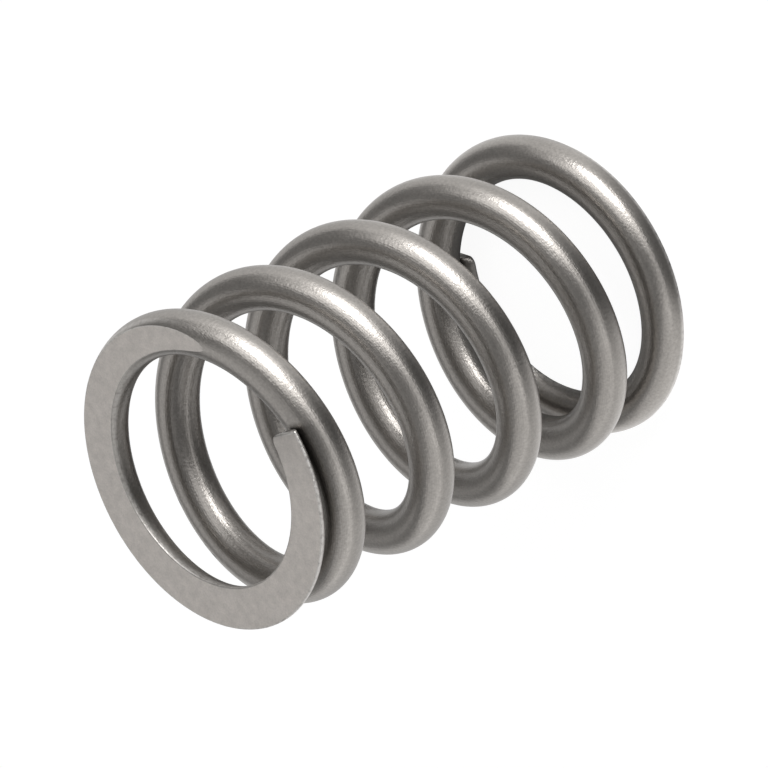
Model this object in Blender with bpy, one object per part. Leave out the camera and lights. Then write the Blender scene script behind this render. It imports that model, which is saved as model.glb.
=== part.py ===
"""Engine valve spring: one round steel wire, coiled right-handed, closed and ground flat at both ends.

The spring stands upright on its lower ground face. The origin is at the centre of that face, +Z runs
up the spring, and the lower tip of the wire lies at +X. Places along the wire are given in turns,
counted from the lower tip.
"""

import math
from dataclasses import dataclass

import bmesh
import bpy

# Driving dimensions of the coil, in metres and turns
WIRE_DIAMETER = 0.0040
OUTER_DIAMETER = 0.0293
FREE_LENGTH = 0.0470
TOTAL_TURNS = 5.587

# Closed ends: the turns that lie against their neighbour, and the turns over which the pitch opens
CLOSED_TURNS = 0.885
BLEND_TURNS = 0.24
TIP_GAP = 0.0001

# Grinding: the wire left at each tip, and the broken edges of the ground and the cut faces
TIP_THICKNESS = 0.0011
EDGE_RADIUS = 0.00015

# Shearing: the round inner corner of each tip, and how far its outer side leans back from square
TIP_CORNER_RADIUS = 0.0009
LOWER_TIP_SLANT = math.radians(-2)
UPPER_TIP_SLANT = math.radians(-8.5)

# Fineness of the mesh, with the closest that two stations come as a share of the usual distance
STATIONS_PER_TURN = 48
CLOSEST_STATIONS = 0.25
ARC_SIDES = 8
EDGE_SIDES = 2
CORNER_STEPS = 4
MERGE_DISTANCE = 1e-7
SHARP_ANGLE = math.radians(35)

PEENED_COLOUR = (0.36, 0.345, 0.33, 1.0)
GROUND_COLOUR = (0.45, 0.44, 0.425, 1.0)
PEENED_ROUGHNESS = 0.42
GROUND_ROUGHNESS = 0.5

WIRE_RADIUS = WIRE_DIAMETER / 2
COIL_RADIUS = (OUTER_DIAMETER - WIRE_DIAMETER) / 2
COIL_CIRCUMFERENCE = 2 * math.pi * COIL_RADIUS
TIP_HEIGHT = TIP_THICKNESS - WIRE_RADIUS


@dataclass
class Station:
    """A place along the wire, with what the cut of a tip close by does to the section there."""

    turn: float
    edge_inset: float = 0.0
    inner_inset: float = 0.0
    slant: float = 0.0


def turns_past_change(turns):
    """Turns run past a change of pitch, which is spread over BLEND_TURNS about zero."""
    half = BLEND_TURNS / 2
    inside = max(-half, min(half, turns))
    return (inside + half) ** 2 / (4 * half) + max(turns - half, 0.0)


def solve_pitches():
    """Pitch of the closed ends and of the open coils, from the free length and the tip's gap.

    The first turn rises by a wire and the gap, so that each tip lies just clear of its neighbour,
    and all the turns together rise from one tip's height to the other's.
    """
    opened = turns_past_change(1 - CLOSED_TURNS)
    first_rise = WIRE_DIAMETER + TIP_GAP
    whole_rise = FREE_LENGTH - 2 * TIP_HEIGHT
    closed_share = 2 * CLOSED_TURNS / (1 - opened)
    open_pitch = (whole_rise - closed_share * first_rise) / (
        TOTAL_TURNS - 2 * CLOSED_TURNS - closed_share * opened
    )
    closed_pitch = (first_rise - opened * open_pitch) / (1 - opened)
    return closed_pitch, open_pitch


CLOSED_PITCH, OPEN_PITCH = solve_pitches()


def wire_height(turn):
    """Height of the wire's centre over the lower ground face."""
    opened = turns_past_change(turn - CLOSED_TURNS)
    closed_again = turns_past_change(turn - (TOTAL_TURNS - CLOSED_TURNS))
    return TIP_HEIGHT + CLOSED_PITCH * turn + (OPEN_PITCH - CLOSED_PITCH) * (opened - closed_again)


def wire_slope(turn):
    """Rise of the wire for each metre that it runs round the coil."""
    step = 0.5 / STATIONS_PER_TURN
    rise = wire_height(turn + step) - wire_height(turn - step)
    return rise / (2 * step * COIL_CIRCUMFERENCE)


def section_side(radius, height, edge):
    """Where the wire's round side meets a broken edge: its angle above the horizontal, and the
    centre of the edge's own arc, for a grinding plane at this height from the wire's centre.

    A plane that misses the wire gives a right angle, so that the edge and the flat shrink to the
    section's highest point.
    """
    meeting = math.asin(max(-1.0, min(1.0, (height - edge) / (radius - edge))))
    return meeting, (radius - edge) * math.cos(meeting), (radius - edge) * math.sin(meeting)


def section_half(radius, room_above, room_below, edge):
    """The outer half of the wire's section, as (across, up) points from its top to its bottom.

    The grinding planes lie at room_above and room_below from the wire's centre.
    """
    top, top_x, top_y = section_side(radius, room_above, edge)
    bottom, bottom_x, bottom_y = section_side(radius, room_below, edge)
    points = []
    for i in range(EDGE_SIDES):
        angle = math.pi / 2 + (top - math.pi / 2) * i / EDGE_SIDES
        points.append((top_x + edge * math.cos(angle), top_y + edge * math.sin(angle)))
    for i in range(ARC_SIDES + 1):
        angle = top - (top + bottom) * i / ARC_SIDES
        points.append((radius * math.cos(angle), radius * math.sin(angle)))
    for i in range(1, EDGE_SIDES + 1):
        angle = bottom + (math.pi / 2 - bottom) * i / EDGE_SIDES
        points.append((bottom_x + edge * math.cos(angle), -bottom_y - edge * math.sin(angle)))
    return points


def wire_section(station):
    """The whole section at a station, as world positions.

    It stands on the upright plane through the axis, which cuts the climbing wire a little aslant
    and so stretches the section upwards. Close to a tip its edges are broken, its inner half is
    squeezed by the round corner, and it is turned by the slant of the cut.
    """
    centre = wire_height(station.turn)
    stretch = math.hypot(1.0, wire_slope(station.turn))
    outer_half = section_half(
        radius=WIRE_RADIUS - station.edge_inset,
        room_above=(FREE_LENGTH - centre) / stretch - station.edge_inset,
        room_below=centre / stretch - station.edge_inset,
        edge=EDGE_RADIUS - station.edge_inset,
    )
    squeeze = 1 - station.inner_inset / WIRE_RADIUS
    inner_half = [(-across * squeeze, up) for across, up in reversed(outer_half)]
    points = []
    for across, up in outer_half + inner_half:
        out = COIL_RADIUS + across
        azimuth = 2 * math.pi * station.turn + math.tan(station.slant) * across / COIL_RADIUS
        points.append((out * math.cos(azimuth), out * math.sin(azimuth), centre + stretch * up))
    return points


def corner_inset(radius, setback):
    """How far a round corner draws the side in, at this setback from the cut face."""
    left = max(radius - setback, 0.0)
    return radius - math.sqrt(radius**2 - left**2)


def tip_stations(end, inward, slant):
    """The stations that round the tip at one end of the wire, from its cut face inward."""
    stations = []
    for i in range(CORNER_STEPS + 1):
        setback = TIP_CORNER_RADIUS * (1 - math.cos(math.pi / 2 * i / CORNER_STEPS))
        station = Station(
            turn=end + inward * setback / COIL_CIRCUMFERENCE,
            edge_inset=corner_inset(EDGE_RADIUS, setback),
            inner_inset=corner_inset(TIP_CORNER_RADIUS, setback),
            slant=slant,
        )
        stations.append(station)
    return stations


def wire_stations():
    """Every station along the wire, from the lower tip to the upper."""
    lower_tip = tip_stations(end=0.0, inward=1, slant=LOWER_TIP_SLANT)
    upper_tip = tip_stations(end=TOTAL_TURNS, inward=-1, slant=UPPER_TIP_SLANT)
    steepest = max(abs(LOWER_TIP_SLANT), abs(UPPER_TIP_SLANT))
    tip_reach = TIP_CORNER_RADIUS + WIRE_RADIUS * math.tan(steepest)
    margin = tip_reach / COIL_CIRCUMFERENCE + CLOSEST_STATIONS / STATIONS_PER_TURN
    middle = []
    for i in range(math.ceil(TOTAL_TURNS * STATIONS_PER_TURN)):
        turn = i / STATIONS_PER_TURN
        if margin < turn < TOTAL_TURNS - margin:
            middle.append(Station(turn))
    return lower_tip + middle + upper_tip[::-1]


def sweep_wire(stations):
    """Join the sections at the stations into one closed skin with a flat cap at each tip."""
    bm = bmesh.new()
    rings = []
    for station in stations:
        rings.append([bm.verts.new(point) for point in wire_section(station)])
    for ring, following in zip(rings, rings[1:]):
        for i, vert in enumerate(ring):
            after = (i + 1) % len(ring)
            bm.faces.new((vert, ring[after], following[after], following[i]))
    bm.faces.new(reversed(rings[0]))
    bm.faces.new(rings[-1])
    bmesh.ops.remove_doubles(bm, verts=bm.verts, dist=MERGE_DISTANCE)
    return bm


def mark_ground_faces(bm):
    """Give the second material to the faces that lie flat on either grinding plane."""
    for face in bm.faces:
        heights = [vert.co.z for vert in face.verts]
        on_lower = max(heights) < MERGE_DISTANCE
        on_upper = min(heights) > FREE_LENGTH - MERGE_DISTANCE
        face.material_index = 1 if on_lower or on_upper else 0


def make_steel(name, colour, roughness):
    """A bare steel finish of the given colour and roughness."""
    material = bpy.data.materials.new(name)
    material.use_nodes = True
    shader = material.node_tree.nodes["Principled BSDF"]
    shader.inputs["Base Color"].default_value = colour
    shader.inputs["Metallic"].default_value = 1.0
    shader.inputs["Roughness"].default_value = roughness
    return material


def make_valve_spring():
    """The spring as one object, standing on its lower ground face."""
    mesh = bpy.data.meshes.new("valve_spring")
    bm = sweep_wire(wire_stations())
    mark_ground_faces(bm)
    bm.to_mesh(mesh)
    bm.free()
    mesh.materials.append(make_steel("peened_steel", PEENED_COLOUR, PEENED_ROUGHNESS))
    mesh.materials.append(make_steel("ground_steel", GROUND_COLOUR, GROUND_ROUGHNESS))
    mesh.shade_smooth()
    mesh.set_sharp_from_angle(angle=SHARP_ANGLE)
    spring = bpy.data.objects.new("valve_spring", mesh)
    bpy.context.scene.collection.objects.link(spring)
    return spring


def main():
    for existing in list(bpy.data.objects):
        bpy.data.objects.remove(existing, do_unlink=True)
    make_valve_spring()


main()
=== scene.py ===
"""An engine valve spring of shot-peened wire, dressed and lit for its portrait.

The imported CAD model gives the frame: metres, +Z up the spring, and the origin in the middle of the
lower ground face. The wire is one Geometry Nodes sweep whose section is worked out point by point, and
it stands in for the plain CAD solid. Places along the wire are given in turns from the lower tip.
"""

import math

import bpy
from bpy.props import FloatProperty, FloatVectorProperty, IntProperty, PointerProperty
from mathutils import Matrix, Vector


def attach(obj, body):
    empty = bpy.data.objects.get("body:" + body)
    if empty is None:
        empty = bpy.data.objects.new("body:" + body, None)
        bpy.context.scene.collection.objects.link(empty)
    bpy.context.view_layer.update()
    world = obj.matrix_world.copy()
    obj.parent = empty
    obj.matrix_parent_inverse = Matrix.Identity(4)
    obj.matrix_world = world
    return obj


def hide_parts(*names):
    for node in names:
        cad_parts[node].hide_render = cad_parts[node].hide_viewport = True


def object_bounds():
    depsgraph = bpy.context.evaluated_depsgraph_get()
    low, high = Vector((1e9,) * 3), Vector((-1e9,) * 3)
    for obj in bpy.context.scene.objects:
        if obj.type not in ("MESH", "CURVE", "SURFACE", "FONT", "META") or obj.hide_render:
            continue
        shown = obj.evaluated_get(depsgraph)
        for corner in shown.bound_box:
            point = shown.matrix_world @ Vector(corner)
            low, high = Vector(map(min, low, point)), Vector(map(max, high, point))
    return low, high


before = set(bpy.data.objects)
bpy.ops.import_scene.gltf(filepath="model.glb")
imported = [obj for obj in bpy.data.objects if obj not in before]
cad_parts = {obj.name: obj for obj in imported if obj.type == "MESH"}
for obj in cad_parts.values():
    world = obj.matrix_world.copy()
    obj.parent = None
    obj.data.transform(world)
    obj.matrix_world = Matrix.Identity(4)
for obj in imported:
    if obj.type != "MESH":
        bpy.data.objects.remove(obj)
CAD_LOW, CAD_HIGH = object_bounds()

bl_info = {
    "name": "Engine valve spring",
    "version": (1, 0, 0),
    "blender": (4, 5, 0),
    "location": "3D View > Sidebar > Spring",
    "description": "Makes a shot-peened valve spring with closed, ground ends, and a studio for it",
    "category": "Add Mesh",
}

MILLIMETRE = 0.001

# How the mesh is divided: rows of points round half a section, and rows of sections at each tip
EDGE_ROWS = 4
ROUND_ROWS = 32
CORNER_ROWS = 9
HALF_COUNT = 2 * EDGE_ROWS + ROUND_ROWS + 1

# Points this close together become one, and faces this close to a grinding plane are ground
MERGE_DISTANCE = 1e-7
FLATNESS = 4e-7

# How far from a tip the slant of its cut dies out, and how far from a grinding plane the swells reach
# their full depth
SLANT_REACH = 3.0 * MILLIMETRE
PEEN_FADE_HEIGHT = 0.4 * MILLIMETRE

# Bright wear lies on the edges of a flat, in full once it is this wide, and on the wire's side up to this
# height beside a grinding plane. There it is whole up to the first sine of the angle up the side, and
# gone from the second. The inside of the coil shows only a share of it
WORN_FLAT_WIDTH = 0.5 * MILLIMETRE
RIM_HEIGHT = 0.6 * MILLIMETRE
RIM_SINES = (0.5, 0.75)
INNER_WEAR = 0.35

# Painted shade: the wire's colour darkens where the next turn is nearer than this, standing in for the
# shade between turns, and, by a share of that dark, on the coil's inside, there in full from a third of
# the wire's thickness inward of its middle
SHADED_GAP = 3.0 * MILLIMETRE
GAP_SHADE_POWER = 1.5
INSIDE_SHADE_RISE = 3.0
INSIDE_PAINTED_SHADE = 0.4
PAINTED_SHADE_DARKNESS = 0.72

# How the other two finishes differ from the peened one
GROUND_LOOK = {
    "colour": (0.706, 0.674, 0.644),
    "roughness": 0.8,
    "roughness_spread": 0.03,
    "patch_size": 0.8 * MILLIMETRE,
    "patch_spread": 0.14,
    "crater_size": 0.2 * MILLIMETRE,
    "crater_depth": 0.01 * MILLIMETRE,
    "grain_spread": 0.1,
    "edge_wear": 0.0,
}
CUT_LOOK = {
    "colour": (0.13, 0.124, 0.118),
    "roughness": 0.5,
}

# How much rougher worn metal is than the steel round it, and how much smoother a burr is than worn metal
WEAR_ROUGHNESS = 0.3
BURR_POLISH = 0.15

# Wear is patchy: its noise counts from this value on, times this contrast
WEAR_NOISE_START = 0.2
WEAR_CONTRAST = 3.0

# The peened height is this share of smoothed craters, and finer noise of this share of their size
CRATER_SHARE = 0.6
CRATER_SMOOTHNESS = 0.4
FINE_SIZE = 0.6

# Small marks, each along a line between two places in millimetres: nicks in the round wire, which are
# dented and darkened as painted shade, and burrs at the upper tip
NICKS = (
    ((10.98, 8.16, 39.98), (10.64, 8.41, 40.12)),
    ((7.41, 11.45, 40.67), (7.35, 11.73, 40.54)),
    ((6.58, 12.04, 40.74), (6.02, 12.10, 40.93)),
)
BURRS = (
    ((-12.33, -7.14, 46.90), (-12.42, -7.06, 46.90)),
    ((-13.02, -5.99, 46.94), (-13.02, -5.99, 46.94)),
    ((-14.05, -2.92, 46.96), (-14.05, -2.92, 46.96)),
    ((-14.11, -2.31, 46.98), (-14.11, -2.31, 46.98)),
)
NICK_RADIUS = 0.27 * MILLIMETRE
BURR_RADIUS = 0.11 * MILLIMETRE
MARK_DEPTH = 0.05 * MILLIMETRE
NICK_PAINTED_SHADE = 0.8

# The softboxes: azimuth and elevation from the spring, the angles that each fills, and how bright it is
LAMP_DISTANCE = 0.45
SOFTBOXES = {
    "key_softbox": (-107, 8, 32, 24, 7.5),
    "key_wing": (-138, 8, 24, 28, 1.35),
    "key_top": (-105, 38, 56, 28, 1.1),
    "side_softbox": (-70, 22, 34, 44, 0.35),
    "face_softbox": (30, 45, 40, 34, 0.4),
    "top_softbox": (60, 82, 44, 44, 0.3),
    "front_softbox": (-178, 8, 50, 22, 0.45),
    "back_softbox": (122, 20, 88, 44, 0.5),
}
SPRING_MIDDLE = (CAD_LOW + CAD_HIGH) / 2

# The power of an area lamp is this many times its brightness and its area
AREA_LAMP_POWER = 4

# How far under the spring the floor lies
FLOOR_GAP = 0.01 * MILLIMETRE

# Painted reflection and painted shadow: a glowing card over the floor that only the metal sees, with its
# brightness at each reach from the spring. The first three, dark, are the same all round and are painted
# shadow of the spring on the floor, and the others, painted reflection, are given for some azimuths in
# degrees
CARD_REACHES = [reach * MILLIMETRE for reach in (0, 9, 12, 15, 32, 60, 160, 500, 2000)]
CARD_SHADOW_TONES = (0.25, 0.2, 0.05)
CARD_FAR_TONES = {
    50: (1.0, 0.75, 0.6, 0.75, 0.85),
    120: (1.2, 0.9, 0.85, 0.85, 0.85),
    150: (1.2, 0.9, 0.65, 0.6, 0.7),
    174: (0.9, 0.5, 0.3, 0.3, 0.6),
    192: (0.2, 0.08, 0.08, 0.1, 0.7),
    214: (0.2, 0.08, 0.08, 0.1, 0.7),
    235: (0.5, 0.4, 0.5, 1.2, 1.2),
    253: (1.1, 0.9, 1.1, 3.0, 2.8),
    275: (0.9, 0.8, 0.9, 1.6, 1.5),
    300: (1.0, 0.9, 0.9, 0.9, 0.9),
    340: (1.1, 0.9, 0.7, 0.8, 0.85),
}
CARD_STEPS = 72

# Elevations between which the room's white fades to its own colour
HORIZON_FOOT = math.radians(3)
HORIZON_TOP = math.radians(5)

# The camera looks down on the upper ground face, and is rolled so that the spring lies across the
# picture
CAMERA_AIM = Vector((-0.03, 0.63, 23.88)) * MILLIMETRE
CAMERA_AZIMUTH = math.radians(-147.745)
CAMERA_ELEVATION = math.radians(39.174)
CAMERA_ROLL = math.radians(-118.0)
CAMERA_DISTANCE = 688.95 * MILLIMETRE
CAMERA_LENS = 364.126
SENSOR_WIDTH = 36.0


class Formula:
    """A number that Math nodes work out, put together with Python's own signs."""

    def __init__(self, tree, socket):
        self.tree = tree
        self.socket = socket

    def __add__(self, other):
        return worked_out("ADD", self, other)

    def __radd__(self, other):
        return worked_out("ADD", other, self)

    def __sub__(self, other):
        return worked_out("SUBTRACT", self, other)

    def __rsub__(self, other):
        return worked_out("SUBTRACT", other, self)

    def __mul__(self, other):
        return worked_out("MULTIPLY", self, other)

    def __rmul__(self, other):
        return worked_out("MULTIPLY", other, self)

    def __truediv__(self, other):
        return worked_out("DIVIDE", self, other)

    def __rtruediv__(self, other):
        return worked_out("DIVIDE", other, self)

    def __pow__(self, other):
        return worked_out("POWER", self, other)

    def __neg__(self):
        return worked_out("MULTIPLY", self, -1.0)


def worked_out(operation, *values):
    """A Math node on these values, of which at least one is a Formula."""
    tree = next(value.tree for value in values if isinstance(value, Formula))
    node = tree.nodes.new("ShaderNodeMath")
    node.operation = operation
    for slot, value in zip(node.inputs, values):
        if isinstance(value, Formula):
            tree.links.new(value.socket, slot)
        else:
            slot.default_value = value
    return Formula(tree, node.outputs["Value"])


def at_least(value, least):
    return worked_out("MAXIMUM", value, least)


def at_most(value, most):
    return worked_out("MINIMUM", value, most)


def between(value, least, most):
    return at_most(at_least(value, least), most)


def faded(value, whole, gone):
    """1 up to one value, 0 from another on, and even between the two."""
    return between((gone - value) / (gone - whole), 0.0, 1.0)


def chosen(test, if_true, if_false):
    """One value where the test is 1, and the other where it is 0."""
    return test * if_true + (1 - test) * if_false


def add_node(tree, kind, settings=None, **inputs):
    """A node with its settings, and with its inputs set or linked, by their names in lower case."""
    node = tree.nodes.new(kind)
    for name, value in (settings or {}).items():
        setattr(node, name, value)
    for name, value in inputs.items():
        slot = next(
            slot for slot in node.inputs if slot.enabled and slot.name.lower().replace(" ", "_") == name
        )
        if isinstance(value, Formula):
            value = value.socket
        if isinstance(value, bpy.types.NodeSocket):
            tree.links.new(value, slot)
        else:
            slot.default_value = value
    return node


def add_sockets(tree, direction, sockets):
    """Give a node group its named inputs or outputs, each with a kind and, if it has one, a default."""
    for name, kind, default in sockets:
        socket = tree.interface.new_socket(name, in_out=direction, socket_type=kind)
        if default is not None:
            socket.default_value = default


def size_formulas(tree, sizes):
    """Give the tree one named input for each of the sizes, and return them all as Formulas."""
    kinds = {"FLOAT": "NodeSocketFloat", "INT": "NodeSocketInt"}
    named = [(prop.name, kinds[prop.type], prop.default) for prop in size_properties(sizes)]
    add_sockets(tree, "INPUT", named)
    source = tree.nodes.new("NodeGroupInput")
    return {
        prop.identifier: Formula(tree, source.outputs[prop.name]) for prop in size_properties(sizes)
    }


def size_properties(sizes):
    return [prop for prop in sizes.bl_rna.properties if prop.type in ("FLOAT", "INT")]


def turns_past_change(turns, blend):
    """Turns run past a change of pitch, which is spread evenly over the blend about zero."""
    half = blend / 2
    inside = between(turns, -half, half)
    return (inside + half) ** 2 / (half * 4) + at_least(turns - half, 0.0)


def share_of_change(turns, blend):
    """How much of a change of pitch is made, from 0 to 1."""
    return between(turns / blend + 0.5, 0.0, 1.0)


def coil_rise(size, turn):
    """Height of the wire's centre at a turn, and how steeply it climbs there.

    The first turn rises by a wire and the gap at its tip, and all the turns together rise from one
    tip's height to the other's, which settles the pitch of the closed ends and of the open coils.
    """
    blend = size["blend_turns"]
    closed = size["closed_turns"]
    tip_height = size["tip_thickness"] - size["wire_diameter"] / 2
    first_rise = size["wire_diameter"] + size["tip_gap"]
    whole_rise = size["free_length"] - tip_height * 2
    opened = turns_past_change(1 - closed, blend)
    closed_share = closed * 2 / (1 - opened)
    open_turns = size["total_turns"] - closed * 2 - closed_share * opened
    open_pitch = (whole_rise - closed_share * first_rise) / open_turns
    closed_pitch = (first_rise - opened * open_pitch) / (1 - opened)

    past_lower = turn - closed
    past_upper = turn - (size["total_turns"] - closed)
    open_run = turns_past_change(past_lower, blend) - turns_past_change(past_upper, blend)
    open_share = share_of_change(past_lower, blend) - share_of_change(past_upper, blend)
    height = tip_height + closed_pitch * turn + (open_pitch - closed_pitch) * open_run
    pitch = closed_pitch + (open_pitch - closed_pitch) * open_share
    circumference = (size["outer_diameter"] - size["wire_diameter"]) * math.pi
    return height, pitch / circumference


def place_along(size, row, row_count):
    """Where a row of the grid lies: its turn, its distance from the nearer tip, and which tip that is.

    The first and last rows are the middles of the cut faces, the next ones crowd round the tips'
    corners, and the rest are evenly spread. The last value is 0 in the middle of a cut face, else 1.
    """
    last_row = row_count - 1
    from_end = at_most(row, last_row - row)
    step = at_least(from_end - 1, 0.0)
    circumference = (size["outer_diameter"] - size["wire_diameter"]) * math.pi
    half_length = size["total_turns"] * circumference / 2
    spacing = (half_length - size["corner_radius"]) / (last_row / 2 - 1 - CORNER_ROWS)
    in_corner = at_most(step / CORNER_ROWS, 1.0) * (math.pi / 2)
    setback = size["corner_radius"] * (1 - worked_out("COSINE", in_corner))
    setback = setback + at_least(step - CORNER_ROWS, 0.0) * spacing
    lower = worked_out("LESS_THAN", row, last_row / 2)
    turn_from_tip = setback / circumference
    turn = chosen(lower, turn_from_tip, size["total_turns"] - turn_from_tip)
    return turn, setback, lower, at_most(from_end, 1.0)


def corner_inset(radius, setback):
    """How far a round corner draws a side in, at a distance from the cut face."""
    left = at_least(radius - setback, 0.0)
    return radius - worked_out("SQRT", at_least(radius**2 - left**2, 0.0))


def meeting_angle(radius, room, edge):
    """Angle up the wire's side at which it meets the broken edge of a flat at this height."""
    return worked_out("ARCSINE", between((room - edge) / (radius - edge), -1.0, 1.0))


def place_round(size, column, height, climb, setback, grown):
    """Where a column lies in the section, as its offset across and up from the wire's centre.

    The columns run over the outer half from top to bottom, and back up over the inner half. Each half
    is a broken edge, the wire's own round side and another broken edge, and the flats lie between the
    halves. Where no flat cuts the wire, its edge rows fall together in one point. The last values are
    the stretch of the section, how much the point lies on a worn edge, and 1 if it lies on a round side.
    """
    middle = EDGE_ROWS + ROUND_ROWS / 2
    place = worked_out("FLOORED_MODULO", column, 2 * HALF_COUNT)
    outside = worked_out("LESS_THAN", place, HALF_COUNT - 0.5)
    rank = chosen(outside, place, 2 * HALF_COUNT - 1 - place)

    stretch = worked_out("SQRT", climb**2 + 1)
    wire_radius = size["wire_diameter"] / 2
    edge_inset = corner_inset(size["edge_radius"], setback)
    radius = wire_radius - edge_inset
    edge = size["edge_radius"] - edge_inset
    room_above = (size["free_length"] - height) / stretch - edge_inset
    room_below = height / stretch - edge_inset
    top = meeting_angle(radius, room_above, edge)
    bottom = meeting_angle(radius, room_below, edge)

    in_top_edge = between(rank / EDGE_ROWS, 0.0, 1.0)
    in_side = between((rank - EDGE_ROWS) / ROUND_ROWS, 0.0, 1.0)
    in_bottom_edge = between((rank - EDGE_ROWS - ROUND_ROWS) / EDGE_ROWS, 0.0, 1.0)
    angle = math.pi / 2 + (top - math.pi / 2) * in_top_edge
    angle = angle - (top + bottom) * in_side - (math.pi / 2 - bottom) * in_bottom_edge
    on_side = worked_out("LESS_THAN", worked_out("ABSOLUTE", rank - middle), ROUND_ROWS / 2 + 0.5)
    seam = chosen(worked_out("LESS_THAN", rank, middle), top, -bottom)
    hub = (1 - on_side) * (radius - edge)
    arc = chosen(on_side, radius, edge)
    across = hub * worked_out("COSINE", seam) + arc * worked_out("COSINE", angle)
    up = hub * worked_out("SINE", seam) + arc * worked_out("SINE", angle)

    from_plane = at_most(room_above - up, room_below + up)
    squeeze = 1 - corner_inset(size["corner_radius"], setback) / wire_radius
    middle_up = (at_most(room_above, radius) - at_most(room_below, radius)) / 2
    across = across * chosen(outside, 1.0, -squeeze) * grown
    up = middle_up + (up - middle_up) * grown
    flat_width = (radius - edge) * worked_out("COSINE", seam) * 2
    ground_edge = (1 - on_side) * between(flat_width / WORN_FLAT_WIDTH, 0.0, 1.0)
    steep = faded(worked_out("ABSOLUTE", worked_out("SINE", angle)), *RIM_SINES)
    rim = steep * faded(from_plane, RIM_HEIGHT / 2, RIM_HEIGHT)
    cut_edge = between(1 - setback / size["edge_radius"], 0.0, 1.0)
    worn = at_least(ground_edge, rim) * chosen(outside, 1.0, INNER_WEAR)
    return across, up, stretch, at_least(worn, cut_edge), on_side


def room_to_next_turns(size, turn, height, across):
    """How far over and under the wire's centre the next turns' skins lie, at this offset across.

    Where there is no next turn, a metre is added.
    """
    wire_radius = size["wire_diameter"] / 2
    half = worked_out("SQRT", at_least(wire_radius**2 - across**2, 0.0))
    height_over = coil_rise(size, turn + 1)[0]
    height_under = coil_rise(size, turn - 1)[0]
    none_over = worked_out("GREATER_THAN", turn + 1, size["total_turns"])
    none_under = worked_out("LESS_THAN", turn, 1.0)
    room_over = height_over - half - height + none_over
    room_under = height - height_under - half + none_under
    return room_over, room_under


def wire_positions(tree, size, row_count, column_count):
    """Position of each point of the grid once it is wound into the wire, and what lies there."""
    index = Formula(tree, tree.nodes.new("GeometryNodeInputIndex").outputs["Index"])
    row = worked_out("FLOOR", index / column_count)
    column = index - row * column_count
    turn, setback, lower, grown = place_along(size, row, row_count)
    height, climb = coil_rise(size, turn)
    across, up, stretch, worn, on_side = place_round(size, column, height, climb, setback, grown)
    room_over, room_under = room_to_next_turns(size, turn, height, across)
    # Painted shade: darker colour between close turns and on the coil's inside, where shade falls
    room = at_most(room_over - up, room_under + up)
    painted_gap_shade = between(1 - room / SHADED_GAP, 0.0, 1.0) ** GAP_SHADE_POWER
    inward = -across * INSIDE_SHADE_RISE / size["wire_diameter"]
    on_inside = on_side * between(inward, 0.0, 1.0)
    painted_shade = at_least(painted_gap_shade, on_inside * INSIDE_PAINTED_SHADE)

    coil_radius = (size["outer_diameter"] - size["wire_diameter"]) / 2
    slant = worked_out("TANGENT", chosen(lower, size["lower_slant"], size["upper_slant"]))
    slant = slant * at_least(1 - setback / SLANT_REACH, 0.0)
    azimuth = turn * math.tau + slant * across / coil_radius
    out = coil_radius + across
    position = add_node(
        tree,
        "ShaderNodeCombineXYZ",
        x=out * worked_out("COSINE", azimuth),
        y=out * worked_out("SINE", azimuth),
        z=height + stretch * up,
    )
    return position.outputs["Vector"], worn * (1 - painted_gap_shade), painted_shade, grown


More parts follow.
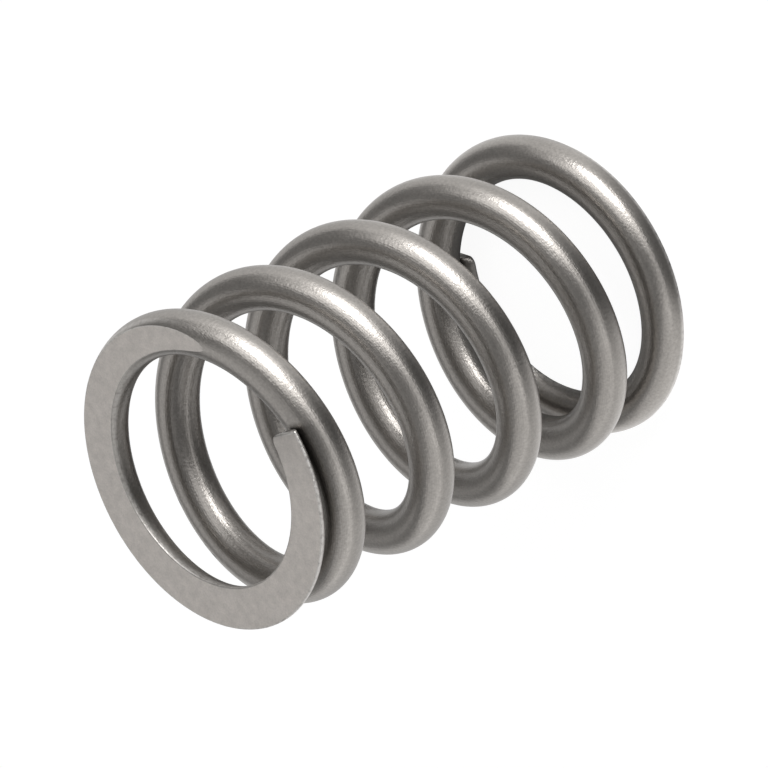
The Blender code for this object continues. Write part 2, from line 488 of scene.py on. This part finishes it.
def make_wire_tree(sizes):
    """The tree that winds, grinds and cuts the wire, with an input for each size and each finish."""
    tree = bpy.data.node_groups.new("wound and ground wire", "GeometryNodeTree")
    add_sockets(tree, "OUTPUT", [("Geometry", "NodeSocketGeometry", None)])
    size = size_formulas(tree, sizes)
    finishes = [(name, "NodeSocketMaterial", None) for name in ("Peened", "Ground", "Cut")]
    add_sockets(tree, "INPUT", finishes)
    finish = tree.nodes.new("NodeGroupInput").outputs

    row_count = worked_out("ROUND", size["total_turns"] * size["sections_per_turn"])
    column_count = 2 * HALF_COUNT + 1
    grid = add_node(tree, "GeometryNodeMeshGrid", vertices_x=row_count, vertices_y=column_count)
    position, worn, painted_shade, grown = wire_positions(tree, size, row_count, column_count)
    wound = add_node(
        tree, "GeometryNodeSetPosition", geometry=grid.outputs["Mesh"], position=position
    )
    outward = add_node(tree, "GeometryNodeFlipFaces", mesh=wound.outputs["Geometry"])
    edged = add_node(
        tree,
        "GeometryNodeStoreNamedAttribute",
        {"data_type": "FLOAT", "domain": "POINT"},
        geometry=outward.outputs["Mesh"],
        name="worn_edge",
        value=worn,
    )
    # Stores the painted shade between close turns and on the coil's inside, for the materials
    shaded = add_node(
        tree,
        "GeometryNodeStoreNamedAttribute",
        {"data_type": "FLOAT", "domain": "POINT"},
        geometry=edged.outputs["Geometry"],
        name="painted_shade",
        value=painted_shade,
    )
    capped = add_node(
        tree,
        "GeometryNodeStoreNamedAttribute",
        {"data_type": "FLOAT", "domain": "FACE"},
        geometry=shaded.outputs["Geometry"],
        name="cut_face",
        value=1 - worked_out("FLOOR", grown),
    )
    closed = add_node(
        tree,
        "GeometryNodeMergeByDistance",
        geometry=capped.outputs["Geometry"],
        distance=MERGE_DISTANCE,
    )
    peened = add_unevenness(tree, size, closed.outputs["Geometry"])

    on_flat = ground_face_test(tree, size)
    cut_name = add_node(
        tree, "GeometryNodeInputNamedAttribute", {"data_type": "FLOAT"}, name="cut_face"
    )
    on_cut = worked_out("GREATER_THAN", Formula(tree, cut_name.outputs["Attribute"]), 0.5)
    flat_shaded = add_node(
        tree,
        "GeometryNodeSetShadeSmooth",
        {"domain": "FACE"},
        geometry=peened,
        selection=at_least(on_flat, on_cut),
        shade_smooth=False,
    )
    geometry = add_node(
        tree, "GeometryNodeRealizeInstances", geometry=flat_shaded.outputs["Geometry"]
    ).outputs["Geometry"]
    for name, selection in (("Peened", True), ("Ground", on_flat), ("Cut", on_cut)):
        finished = add_node(
            tree,
            "GeometryNodeSetMaterial",
            geometry=geometry,
            selection=selection,
            material=finish[name],
        )
        geometry = finished.outputs["Geometry"]
    result = tree.nodes.new("NodeGroupOutput")
    tree.links.new(geometry, result.inputs["Geometry"])
    return tree


def height_formula(tree):
    position = tree.nodes.new("GeometryNodeInputPosition")
    parts = add_node(tree, "ShaderNodeSeparateXYZ", vector=position.outputs["Position"])
    return Formula(tree, parts.outputs["Z"])


def ground_face_test(tree, size):
    """1 on the faces that lie on either grinding plane, and 0 on the others."""
    height = add_node(
        tree,
        "GeometryNodeFieldOnDomain",
        {"data_type": "FLOAT", "domain": "FACE"},
        value=height_formula(tree),
    )
    height = Formula(tree, height.outputs["Value"])
    from_lower = worked_out("ABSOLUTE", height)
    from_upper = worked_out("ABSOLUTE", height - size["free_length"])
    return worked_out("LESS_THAN", at_most(from_lower, from_upper), FLATNESS)


def add_unevenness(tree, size, geometry):
    """Press the round skin in a little, unevenly, as shot does; the ground faces stay flat."""
    height = height_formula(tree)
    from_plane = at_most(height, size["free_length"] - height)
    held = between(from_plane / PEEN_FADE_HEIGHT, 0.0, 1.0)
    noise = add_node(
        tree,
        "ShaderNodeTexNoise",
        {"noise_dimensions": "4D"},
        scale=1 / size["uneven_size"],
        detail=2.0,
        w=size["uneven_seed"],
    )
    depth = size["uneven_depth"] * held * Formula(tree, noise.outputs["Fac"])
    normal = tree.nodes.new("GeometryNodeInputNormal").outputs["Normal"]
    push = add_node(tree, "ShaderNodeVectorMath", {"operation": "SCALE"}, vector=normal, scale=-depth)
    pressed = add_node(
        tree, "GeometryNodeSetPosition", geometry=geometry, offset=push.outputs["Vector"]
    )
    return pressed.outputs["Geometry"]


def make_wire_object(sizes, finishes):
    """Run the tree once and keep its result as a plain mesh."""
    wire = bpy.data.objects.new("peened_wire", bpy.data.meshes.new("peened_wire"))
    bpy.context.scene.collection.objects.link(wire)
    tree = make_wire_tree(sizes)
    modifier = wire.modifiers.new("wound and ground wire", "NODES")
    modifier.node_group = tree
    identifiers = {
        item.name: item.identifier
        for item in tree.interface.items_tree
        if item.item_type == "SOCKET" and item.in_out == "INPUT"
    }
    for prop in size_properties(sizes):
        modifier[identifiers[prop.name]] = getattr(sizes, prop.identifier)
    for name, material in finishes.items():
        modifier[identifiers[name]] = material
    depsgraph = bpy.context.evaluated_depsgraph_get()
    mesh = bpy.data.meshes.new_from_object(
        wire.evaluated_get(depsgraph), preserve_all_data_layers=True, depsgraph=depsgraph
    )
    mesh.name = "peened_wire"
    mesh.materials.pop(index=0)  # the grid's own slot, which holds no material
    wire.modifiers.remove(modifier)
    wire.data = mesh
    return wire


def make_shader_group(name, inputs, outputs):
    """An empty shader node group with its named sockets, its inputs as Formulas, and its output node."""
    tree = bpy.data.node_groups.new(name, "ShaderNodeTree")
    add_sockets(tree, "INPUT", inputs)
    add_sockets(tree, "OUTPUT", outputs)
    source = tree.nodes.new("NodeGroupInput")
    result = tree.nodes.new("NodeGroupOutput")
    given = {socket.name: Formula(tree, socket) for socket in source.outputs if socket.name}
    return tree, given, result


def surface_noise(tree, size, **inputs):
    """Noise over the piece whose patches are about this many metres across, from 0 to 1."""
    place = tree.nodes.new("ShaderNodeTexCoord").outputs["Object"]
    noise = add_node(tree, "ShaderNodeTexNoise", vector=place, scale=1 / size, **inputs)
    return Formula(tree, noise.outputs["Fac"])


def make_tone_group():
    """Steel that is a little lighter or darker from patch to patch and from grain to grain."""
    tree, given, result = make_shader_group(
        "steel tone",
        [
            ("Colour", "NodeSocketColor", (0.5, 0.5, 0.5, 1.0)),
            ("Shade", "NodeSocketFloat", 1.0),
            ("Patch Size", "NodeSocketFloat", 0.004),
            ("Patch Spread", "NodeSocketFloat", 0.1),
            ("Grain Size", "NodeSocketFloat", 0.0003),
            ("Grain Spread", "NodeSocketFloat", 0.1),
        ],
        [("Colour", "NodeSocketColor", None)],
    )
    patches = surface_noise(tree, given["Patch Size"], detail=3.0) - 0.5
    grains = surface_noise(tree, given["Grain Size"], detail=2.0, roughness=0.6) - 0.5
    lightness = 1 + patches * given["Patch Spread"] * 2 + grains * given["Grain Spread"] * 2
    toned = add_node(
        tree,
        "ShaderNodeHueSaturation",
        color=given["Colour"].socket,
        value=lightness * given["Shade"],
    )
    tree.links.new(toned.outputs["Color"], result.inputs["Colour"])
    return tree


def make_peening_group():
    """Shallow craters that overlap at random, as height from 0 to 1."""
    tree, given, result = make_shader_group(
        "peened craters",
        [("Crater Size", "NodeSocketFloat", 0.0003)],
        [("Height", "NodeSocketFloat", None)],
    )
    place = tree.nodes.new("ShaderNodeTexCoord").outputs["Object"]
    craters = add_node(
        tree,
        "ShaderNodeTexVoronoi",
        {"feature": "SMOOTH_F1"},
        vector=place,
        scale=1 / given["Crater Size"],
        smoothness=CRATER_SMOOTHNESS,
    )
    fine = surface_noise(tree, given["Crater Size"] * FINE_SIZE, detail=2.0)
    height = Formula(tree, craters.outputs["Distance"]) * CRATER_SHARE + fine * (1 - CRATER_SHARE)
    tree.links.new(height.socket, result.inputs["Height"])
    return tree


def make_wear_group():
    """Patchy bright wear, from 0 to 1, where the mesh says that an edge or a rim is worn."""
    tree, given, result = make_shader_group(
        "worn edges",
        [
            ("Patch Size", "NodeSocketFloat", 0.0004),
            ("Amount", "NodeSocketFloat", 1.0),
        ],
        [("Wear", "NodeSocketFloat", None)],
    )
    patches = surface_noise(tree, given["Patch Size"], detail=2.0)
    patchy = between((patches - WEAR_NOISE_START) * WEAR_CONTRAST, 0.0, 1.0)
    worn = attribute(tree, "worn_edge") * given["Amount"] * patchy
    tree.links.new(between(worn, 0.0, 1.0).socket, result.inputs["Wear"])
    return tree


def attribute(tree, name):
    node = tree.nodes.new("ShaderNodeAttribute")
    node.attribute_name = name
    return Formula(tree, node.outputs["Fac"])


def make_mark_group():
    """A small mark along a short line: 1 up to half its radius from the line, and 0 past its radius."""
    tree, given, result = make_shader_group(
        "small mark",
        [
            ("Start", "NodeSocketVector", (0.0, 0.0, 0.0)),
            ("End", "NodeSocketVector", (0.0, 0.0, 0.0)),
            ("Radius", "NodeSocketFloat", 0.0001),
        ],
        [("Mask", "NodeSocketFloat", None)],
    )
    place = tree.nodes.new("ShaderNodeTexCoord").outputs["Object"]
    run = vector_math(tree, "SUBTRACT", given["End"].socket, given["Start"].socket).outputs["Vector"]
    gone = vector_math(tree, "SUBTRACT", place, given["Start"].socket).outputs["Vector"]
    along = Formula(tree, vector_math(tree, "DOT_PRODUCT", gone, run).outputs["Value"])
    whole = Formula(tree, vector_math(tree, "DOT_PRODUCT", run, run).outputs["Value"])
    part = between(along / whole, 0.0, 1.0)
    covered = add_node(tree, "ShaderNodeVectorMath", {"operation": "SCALE"}, vector=run, scale=part)
    apart = vector_math(tree, "DISTANCE", gone, covered.outputs["Vector"]).outputs["Value"]
    mask = between((1 - Formula(tree, apart) / given["Radius"]) * 2, 0.0, 1.0)
    tree.links.new(mask.socket, result.inputs["Mask"])
    return tree


def vector_math(tree, operation, first, second):
    node = tree.nodes.new("ShaderNodeVectorMath")
    node.operation = operation
    tree.links.new(first, node.inputs[0])
    tree.links.new(second, node.inputs[1])
    return node


def use_group(tree, group, **inputs):
    """A copy of a shader group in a material, its inputs set or linked by their names in lower case."""
    node = tree.nodes.new("ShaderNodeGroup")
    node.node_tree = group
    for slot in node.inputs:
        value = inputs.get(slot.name.lower().replace(" ", "_"))
        if isinstance(value, Formula):
            tree.links.new(value.socket, slot)
        elif value is not None:
            slot.default_value = value
    return node


def marked(tree, group, lines, radius):
    """How much a place lies on any of the marks along these lines, from 0 to 1."""
    total = None
    for line in lines:
        start, end = (Vector(place) * MILLIMETRE for place in line)
        mark = use_group(tree, group, start=start, end=end, radius=radius)
        mask = Formula(tree, mark.outputs["Mask"])
        total = mask if total is None else at_least(total, mask)
    return total


def mixed_colour(tree, part, first, second):
    """The first colour where the part is 0, and the second where it is 1."""
    node = add_node(tree, "ShaderNodeMix", {"data_type": "RGBA"}, factor=part, a=first, b=second)
    return next(socket for socket in node.outputs if socket.enabled)


def make_steel(name, look, groups):
    """Bare steel: toned colour, craters in its surface, and brighter metal along its broken edges."""
    material = bpy.data.materials.new(name)
    material.use_nodes = True
    material.diffuse_color = (*look.colour, 1.0)
    tree = material.node_tree
    shader = tree.nodes["Principled BSDF"]
    shader.inputs["Metallic"].default_value = 1.0
    # Painted shade: the nicks' colour is darkened, standing in for the shade in the dents
    nick = marked(tree, groups["mark"], NICKS, NICK_RADIUS)
    burr = marked(tree, groups["mark"], BURRS, BURR_RADIUS)
    tone = use_group(
        tree,
        groups["tone"],
        colour=(*look.colour, 1.0),
        # Painted shade: darker colour between close turns and on the coil's inside
        shade=(1 - nick * NICK_PAINTED_SHADE) * (1 - attribute(tree, "painted_shade") * PAINTED_SHADE_DARKNESS),
        patch_size=look.patch_size,
        patch_spread=look.patch_spread,
        grain_size=look.crater_size,
        grain_spread=look.grain_spread,
    )
    wear = use_group(tree, groups["wear"], amount=look.edge_wear)
    worn = at_least(Formula(tree, wear.outputs["Wear"]), burr)
    colour_there = mixed_colour(tree, worn, tone.outputs["Colour"], (*look.worn_colour, 1.0))
    tree.links.new(colour_there, shader.inputs["Base Color"])

    spread = (surface_noise(tree, look.patch_size, detail=2.0) - 0.5) * look.roughness_spread
    roughness = look.roughness + spread - burr * BURR_POLISH + worn * WEAR_ROUGHNESS
    tree.links.new(roughness.socket, shader.inputs["Roughness"])

    peening = use_group(tree, groups["peening"], crater_size=look.crater_size)
    height = Formula(tree, peening.outputs["Height"]) * look.crater_depth + (burr - nick) * MARK_DEPTH
    bump = add_node(tree, "ShaderNodeBump", strength=1.0, distance=1.0, height=height)
    tree.links.new(bump.outputs["Normal"], shader.inputs["Normal"])
    return material


def make_finishes(looks):
    groups = {
        "tone": make_tone_group(),
        "peening": make_peening_group(),
        "wear": make_wear_group(),
        "mark": make_mark_group(),
    }
    return {
        "Peened": make_steel("shot_peened_wire", looks.peened, groups),
        "Ground": make_steel("ground_end_face", looks.ground, groups),
        "Cut": make_steel("sheared_tip", looks.cut, groups),
    }


def background_seen(tree):
    """1 for what the camera sees, straight or in metal or glass, and 0 for what lights the spring."""
    path = tree.nodes.new("ShaderNodeLightPath")
    camera = Formula(tree, path.outputs["Is Camera Ray"])
    glossy = Formula(tree, path.outputs["Is Glossy Ray"])
    transmission = Formula(tree, path.outputs["Is Transmission Ray"])
    return at_least(at_least(camera, glossy), transmission)


def make_floor(stage):
    """A wide floor, white to the camera and in the metal, that keeps the spring's soft shadow."""
    mesh = bpy.data.meshes.new("floor")
    half = stage.floor_width / 2
    corners = [(-half, -half), (half, -half), (half, half), (-half, half)]
    mesh.from_pydata([(x, y, -FLOOR_GAP) for x, y in corners], [], [(0, 1, 2, 3)])
    floor = bpy.data.objects.new("floor", mesh)
    bpy.context.scene.collection.objects.link(floor)

    material = bpy.data.materials.new("white_floor")
    material.use_nodes = True
    tree = material.node_tree
    lit = tree.nodes["Principled BSDF"]
    lit.inputs["Base Color"].default_value = (*stage.floor_colour, 1.0)
    lit.inputs["Roughness"].default_value = 1.0
    lit.inputs["Specular IOR Level"].default_value = 0.0
    white = add_node(
        tree, "ShaderNodeEmission", color=(1.0, 1.0, 1.0, 1.0), strength=stage.floor_white
    )
    mix = tree.nodes.new("ShaderNodeMixShader")
    part, first, second = mix.inputs
    tree.links.new((background_seen(tree) * (1 - stage.shadow_share)).socket, part)
    tree.links.new(lit.outputs["BSDF"], first)
    tree.links.new(white.outputs["Emission"], second)
    tree.links.new(mix.outputs["Shader"], tree.nodes["Material Output"].inputs["Surface"])
    mesh.materials.append(material)


def card_tone(azimuth, ring):
    """How bright the card is at one of its rings, at an azimuth from 0 to 360 degrees."""
    if ring < len(CARD_SHADOW_TONES):
        return CARD_SHADOW_TONES[ring]
    last = max(CARD_FAR_TONES)
    tones = {last - 360: CARD_FAR_TONES[last], **CARD_FAR_TONES}
    if azimuth >= last:
        azimuth -= 360
    before = max(known for known in tones if known <= azimuth)
    after = min(known for known in tones if known > azimuth)
    part = (azimuth - before) / (after - before)
    place = ring - len(CARD_SHADOW_TONES)
    return tones[before][place] * (1 - part) + tones[after][place] * part


def make_card():
    """A glowing card on the floor that only the metal sees: painted shadow close by, and painted
    reflection as its tones say further off.
    """
    corners = []
    tones = []
    covers = []
    for ring, reach in enumerate(CARD_REACHES):
        shown = min(ring, len(CARD_REACHES) - 2)
        for step in range(CARD_STEPS):
            towards = direction(math.tau * step / CARD_STEPS, 0.0) * reach
            corners.append((towards.x, towards.y, FLOOR_GAP / 2))
            tones.append(card_tone(360 * step / CARD_STEPS, shown))
            covers.append(1.0 if shown == ring else 0.0)
    faces = [
        (row + step, row + CARD_STEPS + step, row + CARD_STEPS + next_step, row + next_step)
        for row in range(0, CARD_STEPS * (len(CARD_REACHES) - 1), CARD_STEPS)
        for step, next_step in zip(range(CARD_STEPS), [*range(1, CARD_STEPS), 0])
    ]
    mesh = bpy.data.meshes.new("card")
    mesh.from_pydata(corners, [], faces)
    mesh.attributes.new("tone", "FLOAT", "POINT").data.foreach_set("value", tones)
    mesh.attributes.new("cover", "FLOAT", "POINT").data.foreach_set("value", covers)
    card = bpy.data.objects.new("card", mesh)
    bpy.context.scene.collection.objects.link(card)
    card.visible_camera = False
    card.visible_shadow = False
    card.visible_diffuse = False

    material = bpy.data.materials.new("card")
    material.use_nodes = True
    tree = material.node_tree
    shader = tree.nodes["Principled BSDF"]
    shader.inputs["Base Color"].default_value = (0.0, 0.0, 0.0, 1.0)
    shader.inputs["Specular IOR Level"].default_value = 0.0
    shader.inputs["Emission Color"].default_value = (1.0, 1.0, 1.0, 1.0)
    tree.links.new(attribute(tree, "tone").socket, shader.inputs["Emission Strength"])
    tree.links.new(attribute(tree, "cover").socket, shader.inputs["Alpha"])
    mesh.materials.append(material)


def direction(azimuth, elevation):
    level = math.cos(elevation)
    return Vector((level * math.cos(azimuth), level * math.sin(azimuth), math.sin(elevation)))


def make_lamp(name, azimuth, elevation, width, height, radiance):
    """A softbox that faces the middle of the spring; width and height are the angles that it fills."""
    lamp = bpy.data.lights.new(name, "AREA")
    lamp.shape = "RECTANGLE"
    lamp.size = 2 * LAMP_DISTANCE * math.tan(width / 2)
    lamp.size_y = 2 * LAMP_DISTANCE * math.tan(height / 2)
    lamp.energy = AREA_LAMP_POWER * radiance * lamp.size * lamp.size_y
    softbox = bpy.data.objects.new(name, lamp)
    towards = direction(azimuth, elevation)
    softbox.location = SPRING_MIDDLE + towards * LAMP_DISTANCE
    softbox.rotation_euler = towards.to_track_quat("Z", "Y").to_euler()
    softbox.visible_camera = False
    bpy.context.scene.collection.objects.link(softbox)


def make_world(stage):
    """A grey room that shows white up to just over the horizon to the camera and in the metal."""
    world = bpy.data.worlds.new("studio")
    world.use_nodes = True
    tree = world.node_tree
    view = tree.nodes.new("ShaderNodeTexCoord")
    parts = add_node(tree, "ShaderNodeSeparateXYZ", vector=view.outputs["Generated"])
    rise = Formula(tree, parts.outputs["Z"])
    span = math.sin(HORIZON_TOP) - math.sin(HORIZON_FOOT)
    dimmed = between((rise - math.sin(HORIZON_FOOT)) / span, 0.0, 1.0)
    part = at_least(dimmed, 1 - background_seen(tree))
    room = mixed_colour(tree, part, (1.0, 1.0, 1.0, 1.0), (*stage.room_colour, 1.0))
    tree.links.new(room, tree.nodes["Background"].inputs["Color"])
    bpy.context.scene.world = world


def make_camera():
    """The camera at the photograph's viewing angle, with its roll about the line of sight."""
    lens = bpy.data.cameras.new("camera")
    lens.lens = CAMERA_LENS
    lens.sensor_width = SENSOR_WIDTH
    lens.clip_start = 0.01
    lens.clip_end = 10.0
    camera = bpy.data.objects.new("camera", lens)
    back = direction(CAMERA_AZIMUTH, CAMERA_ELEVATION)
    right = Vector((-math.sin(CAMERA_AZIMUTH), math.cos(CAMERA_AZIMUTH), 0.0))
    level = Matrix((right, back.cross(right), back)).transposed()
    rolled = level @ Matrix.Rotation(CAMERA_ROLL, 3, "Z")
    camera.matrix_world = Matrix.Translation(CAMERA_AIM + back * CAMERA_DISTANCE) @ rolled.to_4x4()
    bpy.context.scene.collection.objects.link(camera)
    bpy.context.scene.camera = camera


def length(name, description, default):
    return FloatProperty(
        name=name, description=description, default=default, min=0.0, unit="LENGTH", precision=6
    )


def colour(name, description, default):
    return FloatVectorProperty(
        name=name, description=description, default=default, size=3, subtype="COLOR", min=0.0, max=1.0
    )


def share(name, description, default):
    return FloatProperty(
        name=name, description=description, default=default, min=0.0, soft_max=1.0, subtype="FACTOR"
    )


def angle(name, description, degrees):
    return FloatProperty(
        name=name, description=description, default=math.radians(degrees), subtype="ANGLE"
    )


class SpringSizes(bpy.types.PropertyGroup):
    """Sizes of the wound, ground and cut wire."""

    wire_diameter: length("Wire Diameter", "Thickness of the round wire", 4.0 * MILLIMETRE)
    outer_diameter: length("Outer Diameter", "Width over the coils", CAD_HIGH.x - CAD_LOW.x)
    free_length: length("Free Length", "Height between the ground faces", CAD_HIGH.z)
    total_turns: FloatProperty(
        name="Total Turns", description="Turns from tip to tip", default=5.587, min=3.0
    )
    closed_turns: FloatProperty(
        name="Closed Turns", description="Turns at each end that lie close", default=0.885, min=0.5
    )
    blend_turns: FloatProperty(
        name="Blend Turns", description="Turns over which the pitch changes", default=0.24, min=0.01
    )
    tip_gap: length("Tip Gap", "Room between a tip and the coil beside it", 0.1 * MILLIMETRE)
    tip_thickness: length("Tip Thickness", "Wire left at a tip after grinding", 1.1 * MILLIMETRE)
    edge_radius: length("Edge Radius", "Broken edges of the ground and cut faces", 0.15 * MILLIMETRE)
    corner_radius: length("Corner Radius", "Round inner corner of each tip", 0.9 * MILLIMETRE)
    lower_slant: angle("Lower Slant", "Lean of the cut across the lower tip", -2.0)
    upper_slant: angle("Upper Slant", "Lean of the cut across the upper tip", -8.5)
    sections_per_turn: IntProperty(
        name="Sections per Turn", description="Rows of points in each turn", default=180, min=24
    )
    uneven_size: length("Unevenness Size", "Width of the peened skin's low swells", 1.2 * MILLIMETRE)
    uneven_depth: length("Unevenness Depth", "Depth of those swells", 0.012 * MILLIMETRE)
    uneven_seed: FloatProperty(
        name="Unevenness Seed", description="Picks another pattern of swells", default=3.0
    )


class SteelLook(bpy.types.PropertyGroup):
    """Finish of one kind of steel surface."""

    colour: colour("Colour", "Reflection of the bare metal", (0.375, 0.354, 0.332))
    worn_colour: colour("Worn Colour", "Metal where an edge is worn bright", (0.72, 0.7, 0.675))
    roughness: share("Roughness", "Blur of reflections between the craters", 0.32)
    roughness_spread: share("Roughness Spread", "Change of roughness from patch to patch", 0.06)
    patch_size: length("Patch Size", "Width of lighter and darker patches", 4.0 * MILLIMETRE)
    patch_spread: share("Patch Spread", "Strength of those patches", 0.06)
    crater_size: length("Crater Size", "Width of the peened craters", 0.24 * MILLIMETRE)
    crater_depth: length("Crater Depth", "Depth of the peened craters", 0.0185 * MILLIMETRE)
    grain_spread: share("Grain Spread", "Change of tone from crater to crater", 0.29)
    edge_wear: share("Edge Wear", "Amount of bright metal on the broken edges", 1.0)


class SpringLooks(bpy.types.PropertyGroup):
    """Finishes of the three kinds of surface."""

    peened: PointerProperty(name="Peened Wire", type=SteelLook)
    ground: PointerProperty(name="Ground Faces", type=SteelLook)
    cut: PointerProperty(name="Cut Tips", type=SteelLook)


class StageSettings(bpy.types.PropertyGroup):
    """Floor, room and lamps."""

    floor_width: FloatProperty(
        name="Floor Width", description="Side of the square floor", default=8.0, unit="LENGTH"
    )
    floor_colour: colour("Floor Colour", "Colour of the floor where lamps light it", (0.9, 0.9, 0.9))
    floor_white: share("Floor White", "Brightness of the floor's own white", 1.12)
    shadow_share: share("Shadow Share", "How much of the floor's look comes from the lamps", 0.18)
    room_colour: colour("Room Colour", "Colour and brightness of the room", (0.25, 0.25, 0.25))
    lamp_strength: share("Lamp Strength", "Brightness of all the softboxes", 1.0)


class SPRING_OT_wind_wire(bpy.types.Operator):
    """Wind, grind and finish the spring's wire in place of the plain solid"""

    bl_idname = "valve_spring.wind_wire"
    bl_label = "Wind the Wire"

    def execute(self, context):
        finishes = make_finishes(context.scene.spring_looks)
        wire = make_wire_object(context.scene.spring_sizes, finishes)
        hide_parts("valve_spring")
        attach(wire, "root")
        return {"FINISHED"}


class SPRING_OT_set_stage(bpy.types.Operator):
    """Lay the white floor, hang the softboxes and place the camera"""

    bl_idname = "valve_spring.set_stage"
    bl_label = "Set the Stage"

    def execute(self, context):
        stage = context.scene.spring_stage
        context.scene.view_settings.view_transform = "Standard"
        make_floor(stage)
        # A glowing card seen only in the metal, as painted shadow and painted reflection
        make_card()
        make_world(stage)
        for name, (*angles, radiance) in SOFTBOXES.items():
            make_lamp(name, *map(math.radians, angles), radiance * stage.lamp_strength)
        make_camera()
        return {"FINISHED"}


class SPRING_PT_panel(bpy.types.Panel):
    """Sizes, finishes and stage of the valve spring"""

    bl_idname = "SPRING_PT_panel"
    bl_label = "Valve Spring"
    bl_space_type = "VIEW_3D"
    bl_region_type = "UI"
    bl_category = "Spring"

    def draw(self, context):
        column = self.layout.column()
        groups = [context.scene.spring_sizes, context.scene.spring_stage]
        looks = context.scene.spring_looks
        for group in (*groups, looks.peened, looks.ground, looks.cut):
            for prop in group.bl_rna.properties:
                if prop.type != "POINTER" and prop.identifier != "name":
                    column.prop(group, prop.identifier)
        for operator in OPERATORS:
            column.operator(operator.bl_idname)


OPERATORS = (SPRING_OT_wind_wire, SPRING_OT_set_stage)
CLASSES = (SpringSizes, SteelLook, SpringLooks, StageSettings, *OPERATORS, SPRING_PT_panel)


def register():
    for cls in CLASSES:
        bpy.utils.register_class(cls)
    bpy.types.Scene.spring_sizes = PointerProperty(type=SpringSizes)
    bpy.types.Scene.spring_looks = PointerProperty(type=SpringLooks)
    bpy.types.Scene.spring_stage = PointerProperty(type=StageSettings)


def unregister():
    del bpy.types.Scene.spring_stage
    del bpy.types.Scene.spring_looks
    del bpy.types.Scene.spring_sizes
    for cls in reversed(CLASSES):
        bpy.utils.unregister_class(cls)


def main():
    register()
    looks = bpy.context.scene.spring_looks
    for name, value in GROUND_LOOK.items():
        setattr(looks.ground, name, value)
    for name, value in CUT_LOOK.items():
        setattr(looks.cut, name, value)
    bpy.ops.valve_spring.wind_wire()
    bpy.ops.valve_spring.set_stage()


if __name__ == "__main__":
    main()
